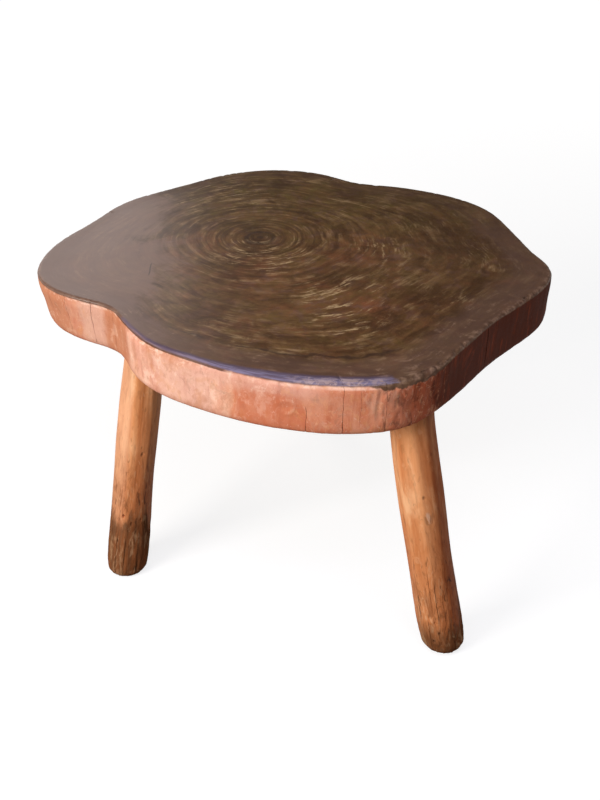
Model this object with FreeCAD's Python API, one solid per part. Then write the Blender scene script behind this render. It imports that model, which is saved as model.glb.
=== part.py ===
"""Three-legged live-edge table: a cross-cut trunk slab on three splayed, hand-hewn pole legs.

Each leg ends in a round tenon that is driven into a blind mortise drilled into the underside of the slab at
the splay angle. A fox wedge, started in a kerf in the tenon's end, meets the mortise floor as the leg is
driven home and spreads the tenon, so that nothing of the joint shows on the top.

Millimetres, +Z up. The origin is on the floor, under the centre of the slab's box. -Y is the front of the
table.
"""

import FreeCAD
import Part
import math
import os

# Slab
TABLE_HEIGHT = 450.0
TOP_LENGTH = 704.0
TOP_DEPTH = 680.0
TOP_THICKNESS = 72.0
RIM_ROUND = 8.0
UNDER_ROUND = 10.0
WALL_LEAN = 7.0

# Legs
LEG_DIAMETER = 62.0
FOOT_DIAMETER = 62.0
FOOT_ROUND = 16.0
LEG_SPLAY_DEG = 10.5
LEG_BOW = 2.5
HEWN_DEPTH = 1.4

# Joint between a leg and the slab
TENON_DIAMETER = 40.0
TENON_LENGTH = 48.0
TENON_CLEARANCE = 0.15
TENON_END_GAP = 2.0
KERF_DEPTH = 36.0
KERF_CLEARANCE = 0.1
WEDGE_TIP_THICKNESS = 1.6
WEDGE_BUTT_THICKNESS = 6.4
WEDGE_TIP_GAP = 3.0

# How far a cutting tool passes the face that it cuts
CUT_OVERRUN = 5.0

# Lobes of the trunk, walked counter-clockwise from +X: bearing in degrees, reach as a share of the half
# length or half depth, and how much of WALL_LEAN the wall below that point has, as a share.
LOBE_SHARES = [
    (2, 0.980, 0.6),
    (15, 0.954, 0.6),
    (35, 0.988, 0.7),
    (50, 0.952, 0.8),
    (61, 0.914, 0.6),
    (71, 0.892, 0.5),
    (82, 0.962, 0.7),
    (100, 1.015, 0.9),
    (113, 0.986, 0.7),
    (125, 0.950, 0.6),
    (138, 0.960, 0.7),
    (156, 0.940, 0.7),
    (169, 0.976, 1.0),
    (180, 1.003, 1.4),
    (192, 0.982, 1.6),
    (202, 0.888, 1.2),
    (213, 0.794, 0.6),
    (226, 0.836, 0.3),
    (247, 0.892, 0.2),
    (268, 0.964, 0.2),
    (282, 1.020, 0.3),
    (291, 1.040, 0.5),
    (301, 0.990, 0.4),
    (308, 0.946, 0.2),
    (320, 0.902, 0.3),
    (335, 0.928, 0.6),
    (346, 0.988, 0.5),
    (354, 1.012, 0.5),
]

# Stations of the rounded rim and of the rounded lower edge, counted along a quarter circle
ROUND_STATIONS = 4

# One leg per row: where its socket lies as shares of the slab's half length and half depth, the bearing that
# it leans to, the bearing of its bow, how many flats it was hewn with and the bearing of the first one, and
# how much of HEWN_DEPTH and FOOT_ROUND it has, as shares.
LEGS = {
    "left": {
        "socket_shares": (-0.570, -0.214),
        "leans_to": 225,
        "bows_to": 150,
        "flats": 7,
        "first_flat": 27,
        "hewn_share": 1.0,
        "foot_share": 0.85,
    },
    "right": {
        "socket_shares": (0.410, -0.752),
        "leans_to": 334,
        "bows_to": 165,
        "flats": 9,
        "first_flat": 5,
        "hewn_share": 0.35,
        "foot_share": 1.25,
    },
    "rear": {
        "socket_shares": (0.120, 0.680),
        "leans_to": 85,
        "bows_to": 300,
        "flats": 8,
        "first_flat": 12,
        "hewn_share": 0.7,
        "foot_share": 1.0,
    },
}

# Heights of the leg's hewn sections between the foot's rounding and the shoulder, as shares of that stretch
LEG_STATION_SHARES = (0.25, 0.5, 0.75, 1.0)
POINTS_PER_FLAT = 2

UNDERSIDE = TABLE_HEIGHT - TOP_THICKNESS
UP = FreeCAD.Vector(0, 0, 1)


def closed_spline(points):
    """A smooth closed curve through the points."""
    curve = Part.BSplineCurve()
    curve.interpolate(points, PeriodicFlag=True)
    return curve


def lofted(sections):
    """A solid lofted smoothly through closed sections, each a list of points at one height."""
    wires = [Part.Wire(closed_spline(points).toShape()) for points in sections]
    return Part.makeLoft(wires, True, False)


def quarter_round(radius):
    """Depth below the flat face and inset from the wall, at stations round a quarter circle."""
    stations = []
    for step in range(ROUND_STATIONS + 1):
        turn = math.pi / 2 * step / ROUND_STATIONS
        stations.append((radius * (1 - math.cos(turn)), radius * (1 - math.sin(turn))))
    return stations


def outline():
    """The slab's widest contour as points, with the inward normal and the lean share at each point."""
    raw = []
    for bearing, reach_share, lean_share in LOBE_SHARES:
        turn = math.radians(bearing)
        raw.append(FreeCAD.Vector(reach_share * math.cos(turn), reach_share * math.sin(turn), 0))
    box = closed_spline(raw).toShape().optimalBoundingBox()
    points = []
    for point in raw:
        x = (point.x - box.Center.x) / box.XLength * TOP_LENGTH
        y = (point.y - box.Center.y) / box.YLength * TOP_DEPTH
        points.append(FreeCAD.Vector(x, y, 0))
    curve = closed_spline(points)
    contour = []
    for point, (bearing, reach_share, lean_share) in zip(points, LOBE_SHARES):
        tangent = curve.tangent(curve.parameter(point))[0]
        contour.append((point, UP.cross(tangent), lean_share))
    return contour


def slab_section(contour, drop, inset):
    """The slab's contour at a drop below the top, drawn in by the inset and by its share of the lean."""
    lean = WALL_LEAN * max(drop - RIM_ROUND, 0) / (TOP_THICKNESS - RIM_ROUND)
    height = UP * (TABLE_HEIGHT - drop)
    return [point + inward * (inset + lean * lean_share) + height for point, inward, lean_share in contour]


def slab_blank():
    """The trunk slab before it is drilled: flat faces, a rounded rim and a leaning, natural wall."""
    contour = outline()
    sections = [slab_section(contour, drop, inset) for drop, inset in quarter_round(RIM_ROUND)]
    middle = (RIM_ROUND + TOP_THICKNESS - UNDER_ROUND) / 2
    sections.append(slab_section(contour, middle, 0))
    for rise, inset in reversed(quarter_round(UNDER_ROUND)):
        sections.append(slab_section(contour, TOP_THICKNESS - rise, inset))
    return lofted(sections)


class LegPlace:
    """Where one leg stands: its socket in the underside, the direction of its axis and its hewn shape."""

    def __init__(self, socket_shares, leans_to, bows_to, flats, first_flat, hewn_share, foot_share):
        x_share, y_share = socket_shares
        lean = math.radians(leans_to)
        splay = math.radians(LEG_SPLAY_DEG)
        outward = FreeCAD.Vector(math.cos(lean), math.sin(lean), 0)
        self.socket = FreeCAD.Vector(x_share * TOP_LENGTH / 2, y_share * TOP_DEPTH / 2, UNDERSIDE)
        self.axis = UP * math.cos(splay) - outward * math.sin(splay)
        self.across_kerf = outward * math.cos(splay) + UP * math.sin(splay)
        self.along_kerf = self.axis.cross(self.across_kerf)
        bow = math.radians(bows_to)
        self.bow = FreeCAD.Vector(math.cos(bow), math.sin(bow), 0) * LEG_BOW
        self.flats = flats
        self.first_flat = math.radians(first_flat)
        self.hewn_depth = HEWN_DEPTH * hewn_share
        self.foot_round = FOOT_ROUND * foot_share

    def at_height(self, height):
        """The centre of the leg at a height above the floor, with its slight bow."""
        along = (height - UNDERSIDE) / self.axis.z
        bow_share = math.sin(math.pi * height / UNDERSIDE)
        return self.socket + self.axis * along + self.bow * bow_share

    def in_tenon(self, across, along, depth):
        """A point of the joint, measured across and along the kerf and up the axis from the underside."""
        return self.socket + self.across_kerf * across + self.along_kerf * along + self.axis * depth


def leg_section(place, height, inset):
    """The leg's hewn contour at a height, drawn in by the inset."""
    centre = place.at_height(height)
    grown = (LEG_DIAMETER - FOOT_DIAMETER) * height / UNDERSIDE
    radius = (FOOT_DIAMETER + grown) / 2 - inset
    count = place.flats * POINTS_PER_FLAT
    points = []
    for step in range(count):
        turn = 2 * math.pi * step / count
        flat_share = (1 + math.cos(place.flats * turn)) / 2
        reach = radius - place.hewn_depth * flat_share
        bearing = place.first_flat + turn
        points.append(centre + FreeCAD.Vector(math.cos(bearing), math.sin(bearing), 0) * reach)
    return points


def leg_pole(place):
    """The hewn pole from the floor to the shoulder that seats against the underside."""
    sections = [leg_section(place, rise, inset) for rise, inset in quarter_round(place.foot_round)]
    for share in LEG_STATION_SHARES:
        height = place.foot_round + share * (UNDERSIDE - place.foot_round)
        sections.append(leg_section(place, height, 0))
    return lofted(sections)


def axial_cylinder(place, radius, start, end):
    """A cylinder on the leg's axis, between two depths measured from the underside."""
    return Part.makeCylinder(radius, end - start, place.in_tenon(0, 0, start), place.axis)


def taper(place, tip_depth, tip_thickness, butt_depth, butt_thickness):
    """A tapered slab across the whole tenon, thin at the tip and thick at the butt."""
    half_width = TENON_DIAMETER / 2 + CUT_OVERRUN
    corners = [
        place.in_tenon(-tip_thickness / 2, -half_width, tip_depth),
        place.in_tenon(tip_thickness / 2, -half_width, tip_depth),
        place.in_tenon(butt_thickness / 2, -half_width, butt_depth),
        place.in_tenon(-butt_thickness / 2, -half_width, butt_depth),
    ]
    face = Part.Face(Part.makePolygon(corners + corners[:1]))
    return face.extrude(place.along_kerf * 2 * half_width)


def wedge_thickness(depth):
    """The wedge's thickness at a depth above the underside, carried on past its ends at the same taper."""
    floor = TENON_LENGTH + TENON_END_GAP
    tip = TENON_LENGTH - KERF_DEPTH + WEDGE_TIP_GAP
    slope = (WEDGE_BUTT_THICKNESS - WEDGE_TIP_THICKNESS) / (floor - tip)
    return WEDGE_TIP_THICKNESS + slope * (depth - tip)


def fox_wedge(place):
    """The hidden wedge: its butt bears on the mortise floor and its sides on the spread tenon."""
    tip = TENON_LENGTH - KERF_DEPTH + WEDGE_TIP_GAP
    floor = TENON_LENGTH + TENON_END_GAP
    blank = taper(place, tip, wedge_thickness(tip), floor, wedge_thickness(floor))
    return blank.common(axial_cylinder(place, TENON_DIAMETER / 2, 0, floor))


def leg(place):
    """The pole with its round tenon, kerfed for the wedge."""
    root = -TENON_DIAMETER / 2
    tenon = axial_cylinder(place, TENON_DIAMETER / 2, root, TENON_LENGTH)
    kerf_root = TENON_LENGTH - KERF_DEPTH
    kerf_end = TENON_LENGTH + CUT_OVERRUN
    play = 2 * KERF_CLEARANCE
    root_width = wedge_thickness(kerf_root) + play
    end_width = wedge_thickness(kerf_end) + play
    kerf = taper(place, kerf_root, root_width, kerf_end, end_width)
    return leg_pole(place).fuse(tenon).cut(kerf).removeSplitter()


def mortise(place):
    """The blind hole that a leg's tenon is driven into."""
    radius = TENON_DIAMETER / 2 + TENON_CLEARANCE
    return axial_cylinder(place, radius, -TENON_DIAMETER / 2, TENON_LENGTH + TENON_END_GAP)


def main():
    """Builds every piece and writes one STEP file per node."""
    places = {name: LegPlace(**row) for name, row in LEGS.items()}
    slab = slab_blank()
    for place in places.values():
        slab = slab.cut(mortise(place))
    nodes = {"top_slab": slab}
    for name, place in places.items():
        nodes["leg_" + name] = leg(place)
        nodes["wedge_" + name] = fox_wedge(place)
    os.makedirs("parts", exist_ok=True)
    for name, shape in nodes.items():
        shape.exportStep("parts/" + name + ".step")
        print(name, shape.isValid(), len(shape.Solids), round(shape.Volume), shape.BoundBox)


main()
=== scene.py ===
"""Live-edge table: a cross-cut trunk slab, stained and lacquered on top, on three hand-hewn pole legs.

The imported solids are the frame. The slab and the legs are dressed as dense skins that follow those solids
and add what hand work and drying leave on wood: checks, a lip under the rim, hewn flats, pits, worn feet.
Metres, +Z up.
"""

import logging
import math
from dataclasses import dataclass
from enum import Enum
from functools import partial
from typing import Callable, Optional, Union

import bmesh
import bpy
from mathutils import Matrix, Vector, noise
from mathutils.bvhtree import BVHTree


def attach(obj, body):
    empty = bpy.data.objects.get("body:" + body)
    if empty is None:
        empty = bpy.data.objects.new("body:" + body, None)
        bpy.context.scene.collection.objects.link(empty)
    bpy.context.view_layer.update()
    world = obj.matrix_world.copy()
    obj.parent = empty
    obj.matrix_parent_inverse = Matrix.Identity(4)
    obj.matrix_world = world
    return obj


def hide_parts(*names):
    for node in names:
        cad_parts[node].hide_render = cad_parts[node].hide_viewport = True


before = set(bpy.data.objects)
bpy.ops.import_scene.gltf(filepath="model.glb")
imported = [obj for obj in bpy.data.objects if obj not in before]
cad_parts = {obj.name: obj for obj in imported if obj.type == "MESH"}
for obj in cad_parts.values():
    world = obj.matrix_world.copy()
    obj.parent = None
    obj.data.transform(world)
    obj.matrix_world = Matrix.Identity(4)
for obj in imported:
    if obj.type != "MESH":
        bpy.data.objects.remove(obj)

log = logging.getLogger("table")

Colour = tuple[float, float, float, float]
Triple = tuple[float, float, float]
BODY = "root"

# Driving sizes of the frame
TABLE_HEIGHT = 0.450
UNDERSIDE = 0.378
LEG_RADIUS = 0.031

# How far the lower edge of the wall is felt above the underside
FEEL_STEP = 0.0004

# How dark a vertex in a check is before its faces keep their crease, and which faces lie level and look down
SPLIT_DARK = 0.02
LEVEL_DOWN = -0.9999

# How dark the bottom of a deep check is
DEEPEST_DARK = 0.9

# The trunk's centre, off the middle of the slab, and how far the front wall is from it
PITH = Vector((-0.049, 0.074, 0.0))
FRONT_REACH = 0.40


def smoothstep(value: float, low: float, high: float) -> float:
    """0 below low, 1 above high, and a smooth rise between them."""
    share = min(max((value - low) / (high - low), 0.0), 1.0)
    return share * share * (3.0 - 2.0 * share)


def hump(value: float, centre: float, half_width: float) -> float:
    """1 at the centre, falling smoothly to 0 at half_width to either side."""
    return 1.0 - smoothstep(abs(value - centre), 0.0, half_width)


def plateau(value: float, low: float, high: float, fade: float) -> float:
    """1 between low and high, fading to 0 outside them."""
    return smoothstep(value, low - fade, low) * (1.0 - smoothstep(value, high, high + fade))


def heading(degrees: float) -> Vector:
    """The level unit vector that points to a bearing."""
    return Vector((math.cos(math.radians(degrees)), math.sin(math.radians(degrees)), 0.0))


def pith_at(height: float) -> Vector:
    """The trunk's centre at a height."""
    return Vector((PITH.x, PITH.y, height))


def quarter_turns(rows: int) -> list[float]:
    """The turns of a quarter circle in that many equal rows, without its start."""
    return [math.pi / 2.0 * row / rows for row in range(1, rows + 1)]


def srgb(red: int, green: int, blue: int) -> Colour:
    """A colour written in 8-bit display values, as the linear values that a shader takes."""
    linear = []
    for level in (red, green, blue):
        share = level / 255.0
        linear.append(share / 12.92 if share <= 0.04045 else ((share + 0.055) / 1.055) ** 2.4)
    return (linear[0], linear[1], linear[2], 1.0)


class Trait(Enum):
    """What the skins' own vertex attributes hold."""

    COLUMN = "column"
    GROWTH = "growth"
    CHECK = "check"
    GRAIN = "leg_grain"
    SOIL = "soil"
    AGED = "shade_and_darkening"
    SUNNED = "lit_side"


class Form(Enum):
    """Stretches of the slab with a shape of their own: bearings from and to, and the width of the fade."""

    SOFT_RIM = (244.0, 291.0, 12.0)
    BARK = (290.0, 301.0, 3.5)
    LIP = (240.0, 259.0, 4.0)
    LEFT_LIP = (205.0, 231.0, 3.0)
    CHIPPED = (300.0, 345.0, 10.0)
    CHIPPED_BACK = (20.0, 190.0, 10.0)

    def at(self, bearing: float) -> float:
        """How much of the stretch there is at a bearing in degrees."""
        return plateau(bearing, *self.value)


class Stretch(Enum):
    """Stretches of the rim and the wall with a colour of their own, or with painted light or shade.

    Each has its bearings from and to, and the width of the fade. The front is at -90 degrees.
    """

    BLOOM = (-122.0, -70.0, 4.0)
    GLARE = (-80.0, -71.0, 5.0)
    RIGHT_SCUFFS = (-68.0, -14.0, 8.0)
    LEFT_SCUFFS = (-172.0, -130.0, 6.0)
    FRONT_BLUSH = (-109.0, -98.5, 5.0)
    SIDE_BLUSH = (-121.0, -113.0, 3.0)
    LOBE_BLUSH = (-139.5, -134.0, 2.5)
    LOBE = (-164.0, -132.0, 6.0)
    NOTCH = (-131.0, -123.0, 3.5)
    WEST = (-188.0, -147.0, 4.0)
    WEST_REST = (172.0, 190.0, 8.0)
    UNDER_RIM = (-112.0, -91.0, 4.0)
    HAZE = (-98.0, -82.0, 6.0)
    GLEAM = (-84.0, -72.0, 4.0)
    DUSK = (-56.0, -12.0, 7.0)
    WRINKLED = (-68.0, -59.0, 2.5)
    FLAWED = (-84.0, -60.0, 6.0)
    MOTTLED = (-119.0, -88.0, 6.0)
    RUST = (-91.0, -84.0, 2.5)
    CREASED = (-127.0, -96.0, 4.0)
    LEFT_BITS = (-147.0, -127.0, 3.0)
    FRONT_BITS = (-118.0, -109.0, 2.0)
    RUN_CORNER = (-69.0, -58.0, 3.0)
    SHORT_STAIN = (-128.0, -71.0, 3.0)
    SHORTER_STAIN = (-122.0, -94.0, 4.0)

    def at(self, bearing: "Wire") -> "Wire":
        """How much of the stretch there is at a bearing in degrees."""
        return bearing.within(*self.value)


def math_operator(operation: str, swapped: bool = False) -> Callable[["Wire", "Value"], "Wire"]:
    """An operator of a wire that adds one Math node, with the wire first or, if swapped, second."""

    def apply(self: "Wire", other: "Value") -> "Wire":
        """Adds the Math node."""
        first, second = (other, self) if swapped else (self, other)
        return self.graph.math(operation, first, second)

    return apply


class Wire:
    """A value in a material's graph. Arithmetic on it adds Math nodes."""

    def __init__(self, graph: "Graph", socket: Optional[bpy.types.NodeSocket]) -> None:
        """Wraps one output socket of a graph, or none for a node that ends it."""
        self.graph = graph
        self.socket = socket

    __add__ = math_operator("ADD")
    __radd__ = math_operator("ADD", True)
    __sub__ = math_operator("SUBTRACT")
    __rsub__ = math_operator("SUBTRACT", True)
    __mul__ = math_operator("MULTIPLY")
    __rmul__ = math_operator("MULTIPLY", True)

    def __abs__(self) -> "Wire":
        """The size without its sign, as a Math node."""
        return self.graph.math("ABSOLUTE", self, 0.0)

    def root(self) -> "Wire":
        """The square root as a Math node."""
        return self.graph.math("SQRT", self, 0.0)

    def step(self, low: float, high: float) -> "Wire":
        """A smooth rise from 0 to 1 as the value goes from low to high."""
        inputs = {0: self, 1: low, 2: high, 3: 0.0, 4: 1.0}
        return self.graph.node("MapRange", {"interpolation_type": "SMOOTHSTEP"}, inputs)

    def fall(self, low: float, high: float) -> "Wire":
        """A smooth fall from 1 to 0 as the value goes from low to high."""
        return 1.0 - self.step(low, high)

    def within(self, low: float, high: float, fade: float) -> "Wire":
        """1 between low and high, fading to 0 outside them."""
        return self.step(low - fade, low) * self.fall(high, high + fade)

    def sway(self, width: float) -> "Wire":
        """A noise about its middle of 0.5, times a width."""
        return (self - 0.5) * width

    def toward(self, other: "Value", share: "Wire") -> "Wire":
        """A share of the way from this value to another."""
        return self + (other - self) * share

    def bands(self, scale: float, detail: float, roughness: float) -> "Wire":
        """Smooth noise along a single value: bands of uneven width."""
        inputs = {"W": self, "Scale": scale, "Detail": detail, "Roughness": roughness}
        return self.graph.node("TexNoise", {"noise_dimensions": "1D"}, inputs)

    def noise(self, scale: float, detail: float, roughness: float = 0.5, twist: float = 0.0) -> "Wire":
        """Smooth noise over a place, about 0.5 on the average."""
        inputs = {"Vector": self, "Scale": scale, "Detail": detail, "Roughness": roughness}
        inputs["Distortion"] = twist
        return self.graph.node("TexNoise", {"noise_dimensions": "3D"}, inputs)

    def stretched(self, upright: float) -> "Wire":
        """A place whose noise is drawn out upright, as that share is below 1."""
        return self.graph.vector("MULTIPLY", self, (1.0, 1.0, upright))

    def moved(self, x: float, y: float, z: float) -> "Wire":
        """A place moved off, for a noise of its own."""
        return self.graph.vector("ADD", self, (x, y, z))

    def length(self) -> "Wire":
        """How far a place is from the origin."""
        return self.graph.node("VectorMath", {"operation": "LENGTH"}, {0: self}, Graph.VECTOR_VALUE)

    def distance(self, other: Triple) -> "Wire":
        """How far a place is from a fixed one."""
        inputs = {0: self, 1: other}
        return self.graph.node("VectorMath", {"operation": "DISTANCE"}, inputs, Graph.VECTOR_VALUE)

    def parts(self) -> tuple["Wire", "Wire", "Wire"]:
        """The x, y and z of a place."""
        split = self.graph.node("SeparateXYZ", None, {0: self}).socket.node
        x, y, z = (Wire(self.graph, part) for part in split.outputs)
        return x, y, z


Value = Union[Wire, float]
Paint = Union[Wire, Colour]


class Graph:
    """A procedural material, built one node at a time."""

    COLOUR_A = 6
    COLOUR_B = 7
    COLOUR_RESULT = 2
    OBJECT_PLACE = 3
    VECTOR_VALUE = 1
    ATTRIBUTE_VECTOR = 1
    ATTRIBUTE_VALUE = 2

    def __init__(self, name: str) -> None:
        """Starts an empty material of that name."""
        self.material = bpy.data.materials.new(name)
        self.material.use_nodes = True
        self.tree = self.material.node_tree
        self.tree.nodes.clear()

    def node(
        self, kind: str, settings: Optional[dict] = None, inputs: Optional[dict] = None, output: int = 0
    ) -> Wire:
        """Adds a node.

        Args:
            kind: the node's type, without the ShaderNode in front.
            settings: attributes of the node, set first.
            inputs: values or wires by socket name or number.
            output: which output to return.

        Returns:
            The chosen output.
        """
        made = self.tree.nodes.new("ShaderNode" + kind)
        for key, value in (settings or {}).items():
            setattr(made, key, value)
        for key, value in (inputs or {}).items():
            if isinstance(value, Wire):
                self.tree.links.new(value.socket, made.inputs[key])
            else:
                made.inputs[key].default_value = value
        return Wire(self, made.outputs[output] if made.outputs else None)

    def math(self, operation: str, first: Value, second: Value) -> Wire:
        """A Math node on two values."""
        return self.node("Math", {"operation": operation}, {0: first, 1: second})

    def vector(self, operation: str, first: Union[Wire, Triple], second: Union[Wire, Triple]) -> Wire:
        """A Vector Math node on two vectors."""
        return self.node("VectorMath", {"operation": operation}, {0: first, 1: second})

    def mix(self, share: Value, first: Paint, second: Paint, blend: str = "MIX") -> Wire:
        """A colour between two colours."""
        settings = {"data_type": "RGBA", "blend_type": blend}
        inputs = {0: share, self.COLOUR_A: first, self.COLOUR_B: second}
        return self.node("Mix", settings, inputs, self.COLOUR_RESULT)

    def place(self) -> Wire:
        """The point in the object's own coordinates."""
        return self.node("TexCoord", None, None, self.OBJECT_PLACE)

    def trait(self, trait: Trait, output: int = ATTRIBUTE_VALUE) -> Wire:
        """One of the mesh's own attributes, as a value or as a vector."""
        return self.node("Attribute", {"attribute_name": trait.value}, None, output)

    def bump(self, strength: float, distance: float, height: Wire) -> Wire:
        """Fine relief as a normal."""
        return self.node("Bump", None, {"Strength": strength, "Distance": distance, "Height": height})

    def finish(self, surface: dict) -> bpy.types.Material:
        """Closes the graph with one Principled shader.

        Args:
            surface: values or wires by the shader's socket names.

        Returns:
            The finished material.
        """
        shader = self.node("BsdfPrincipled", None, surface)
        self.node("OutputMaterial", None, {"Surface": shader})
        return self.material


class Coats:
    """A colour that is laid on coat by coat."""

    def __init__(self, ground: Paint) -> None:
        """Starts with the colour of the ground."""
        self.colour = ground

    def lay(self, share: Wire, paint: Paint) -> None:
        """Lays a share of a colour over what is there."""
        self.colour = share.graph.mix(share, self.colour, paint)


@dataclass(frozen=True)
class Patch:
    """A soft round patch of the top, where the stain took in its own way."""

    x: float
    y: float
    radius: float
    strength: float = 1.0


@dataclass(frozen=True)
class SlabFinish:
    """Stain and lacquer over growth rings on top, debarked copper-red sapwood round it, sawn wood below."""

    name: str = "stained_slab"
    stain_dark: Colour = srgb(62, 38, 18)
    stain_mid: Colour = srgb(112, 80, 48)
    # Tan of the early wood, also standing in for painted sheen on the ring ridges
    stain_tan_and_sheen: Colour = srgb(150, 118, 82)
    stain_red: Colour = srgb(126, 74, 48)
    stain_olive: Colour = srgb(92, 76, 30)
    stain_gold: Colour = srgb(192, 162, 120)
    stain_mauve: Colour = srgb(110, 80, 72)
    stain_rim: Colour = srgb(98, 73, 62)
    # Painted sheen on the smooth left lobe of the top
    sheen_grey: Colour = srgb(114, 86, 74)
    # Colours of the painted sky reflection along the front rim
    rim_blue: Colour = srgb(126, 116, 140)
    rim_mauve: Colour = srgb(134, 114, 122)
    rim_slate: Colour = srgb(82, 72, 97)
    # Wear on the rim, also used for the painted glints in the front sapwood
    rim_worn_and_glint: Colour = srgb(156, 124, 102)
    wall_white: Colour = srgb(250, 214, 192)
    wall_pale: Colour = srgb(222, 178, 152)
    wall_blush: Colour = srgb(226, 188, 170)
    # Colour of the painted sheen under the front rim
    wall_sheen: Colour = srgb(218, 168, 150)
    wall_rose: Colour = srgb(190, 138, 114)
    wall_gold: Colour = srgb(206, 142, 88)
    wall_pink: Colour = srgb(220, 152, 118)
    wall_copper: Colour = srgb(192, 110, 78)
    wall_tan: Colour = srgb(180, 118, 86)
    wall_flaw: Colour = srgb(216, 154, 114)
    wall_deep: Colour = srgb(154, 68, 37)
    wall_dark: Colour = srgb(60, 28, 20)
    # Dark of cracks, the heart and fine lines, and also of the painted shadow under the lip
    crack_and_shadow_dark: Colour = srgb(38, 24, 20)
    sawn_pale: Colour = srgb(176, 134, 96)
    sawn_dark: Colour = srgb(128, 90, 60)
    rings: float = 40.0
    stain_line: float = 0.0040
    knot_bearing: float = -84.0
    knot_drop: float = 0.034
    coat_roughness: float = 0.30
    gloss: float = 0.0
    gold_patches: tuple[Patch, ...] = (
        Patch(-0.040, 0.016, 0.085),
        Patch(0.060, -0.108, 0.085),
        Patch(0.072, -0.182, 0.062),
        Patch(0.121, 0.032, 0.052, 0.8),
        Patch(-0.110, 0.235, 0.120, 0.55),
        Patch(0.262, 0.012, 0.060, 0.4),
        Patch(0.238, -0.120, 0.055, 0.35),
        Patch(-0.060, -0.215, 0.060, 0.4),
    )
    red_patches: tuple[Patch, ...] = (
        Patch(-0.055, -0.057, 0.085),
        Patch(0.085, 0.020, 0.080),
        Patch(0.137, -0.151, 0.075),
        Patch(-0.150, 0.060, 0.080, 0.7),
        Patch(0.060, -0.110, 0.080, 0.6),
    )
    dark_patches: tuple[Patch, ...] = (
        Patch(0.069, -0.050, 0.055),
        Patch(0.238, 0.070, 0.085),
        Patch(0.165, -0.115, 0.060),
        Patch(-0.105, -0.150, 0.070, 0.6),
        Patch(0.110, 0.250, 0.090),
    )

    def strokes(self, place: Wire, growth: Wire, along: float, across: float, *texture: float) -> Wire:
        """Noise whose cells are long round the rings and thin across them.

        Args:
            place: the point on the slab.
            growth: 0 at the pith, 1 at the rim.
            along: how close the cells lie round the rings.
            across: how close they lie across the rings.
            texture: the noise's detail, roughness and twist.

        Returns:
            The noise.
        """
        graph = place.graph
        level = graph.vector("SUBTRACT", place, (PITH.x, PITH.y, TABLE_HEIGHT))
        lift = graph.node("CombineXYZ", None, {2: growth * across})
        inputs = {0: level, 1: (along, along, along), 2: lift}
        space = graph.node("VectorMath", {"operation": "MULTIPLY_ADD"}, inputs)
        return space.noise(1.0, *texture)

    def patched(self, place: Wire, patches: tuple[Patch, ...]) -> Wire:
        """How much of any of the patches lies at a point of the top."""
        graph = place.graph
        total: Value = 0.0
        for patch in patches:
            distance = place.distance((patch.x, patch.y, TABLE_HEIGHT))
            total = distance.fall(patch.radius * 0.30, patch.radius) * patch.strength + total
        return graph.math("MINIMUM", total, 1.0)

    def facing(self, place: Wire) -> Wire:
        """The bearing of a point about the pith in degrees, from -180 to 180; the front is at -90."""
        x, y, _ = place.parts()
        return place.graph.math("ARCTAN2", y - PITH.y, x - PITH.x) * math.degrees(1.0)

    def top(self, place: Wire, growth: Wire) -> tuple[Wire, Wire]:
        """The stained face.

        Args:
            place: the point on the slab.
            growth: 0 at the pith, 1 at the rim.

        Returns:
            Its colour and its relief.
        """
        x, y, _ = place.parts()
        wobble = place.noise(9.0, 3.0, 0.6) - 0.5
        age = growth + wobble * 0.05
        heartwood = growth.fall(0.10, 0.62)
        ring = age.bands(self.rings, 2.0, 0.55)
        broad = self.strokes(place, age, 18.0, 17.0, 4.0, 0.62, 0.6)
        arc = self.strokes(place, age, 19.0, 36.0, 4.0, 0.62, 0.3)
        stroke = self.strokes(place, age, 34.0, 92.0, 3.0, 0.62, 0.3)
        fleck = self.strokes(place, age, 100.0, 230.0, 3.0, 0.64)
        cloud = place.noise(8.0, 5.0, 0.62, 0.8)
        drift = place.moved(3.7, 1.9, 0.0).noise(11.0, 5.0, 0.64, 0.8)
        mottle = place.noise(46.0, 4.0, 0.66, 0.7)
        hue = place.moved(0.0, 5.3, 2.1).noise(34.0, 5.0, 0.68, 0.6)
        chill = place.moved(7.7, 0.0, 4.2).noise(40.0, 5.0, 0.68, 0.6)
        coats = Coats(self.stain_mid)

        # The stain's hues: red patches, olive at the back, mauve, and dark where it lies thick
        red = self.patched(place, self.red_patches) * 0.35 + hue.step(0.50, 0.64) * 0.40
        coats.lay(red, self.stain_red)
        back = (y + drift.sway(0.30)).step(-0.04, 0.22)
        coats.lay(back * 0.45 + hue.fall(0.38, 0.50) * 0.35, self.stain_olive)
        coats.lay(chill.step(0.50, 0.64) * 0.45, self.stain_mauve)
        tone = broad * 0.46 + cloud * 0.28 + arc * 0.18 + mottle * 0.24 - 0.08
        coats.lay(tone.fall(0.37, 0.60) * 0.85, self.stain_dark)
        shadow = self.patched(place, self.dark_patches) * 0.50 + drift.step(0.54, 0.70) * 0.25
        coats.lay(shadow * broad.step(0.36, 0.58), self.stain_dark)

        # Strokes round the rings: tan early wood that is partly painted sheen on the ring ridges, dark late
        # wood, gold flecks and pores
        clear = (drift * 0.6 + broad * 0.4).step(0.42, 0.56)
        early_wood_and_sheen = (arc * 0.50 + stroke * 0.20 + mottle * 0.30).step(0.49, 0.63)
        coats.lay(early_wood_and_sheen * (0.16 + clear * 0.30 + heartwood * 0.26), self.stain_tan_and_sheen)
        late = (ring * 0.85 + mottle * 0.15).step(0.50, 0.60) * (0.14 + heartwood * 0.42)
        coats.lay(late, self.stain_dark)
        gilt = self.patched(place, self.gold_patches) * 0.72 + drift.step(0.48, 0.62) * 0.22
        gold = (stroke * 0.7 + mottle * 0.3).step(0.50, 0.62) * arc.step(0.42, 0.56) * gilt
        coats.lay(gold, self.stain_gold)
        coats.lay(fleck.step(0.56, 0.72) * 0.34, self.stain_dark)
        coats.lay((x + drift.sway(0.12)).step(0.10, 0.24) * 0.30, self.stain_dark)
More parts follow.
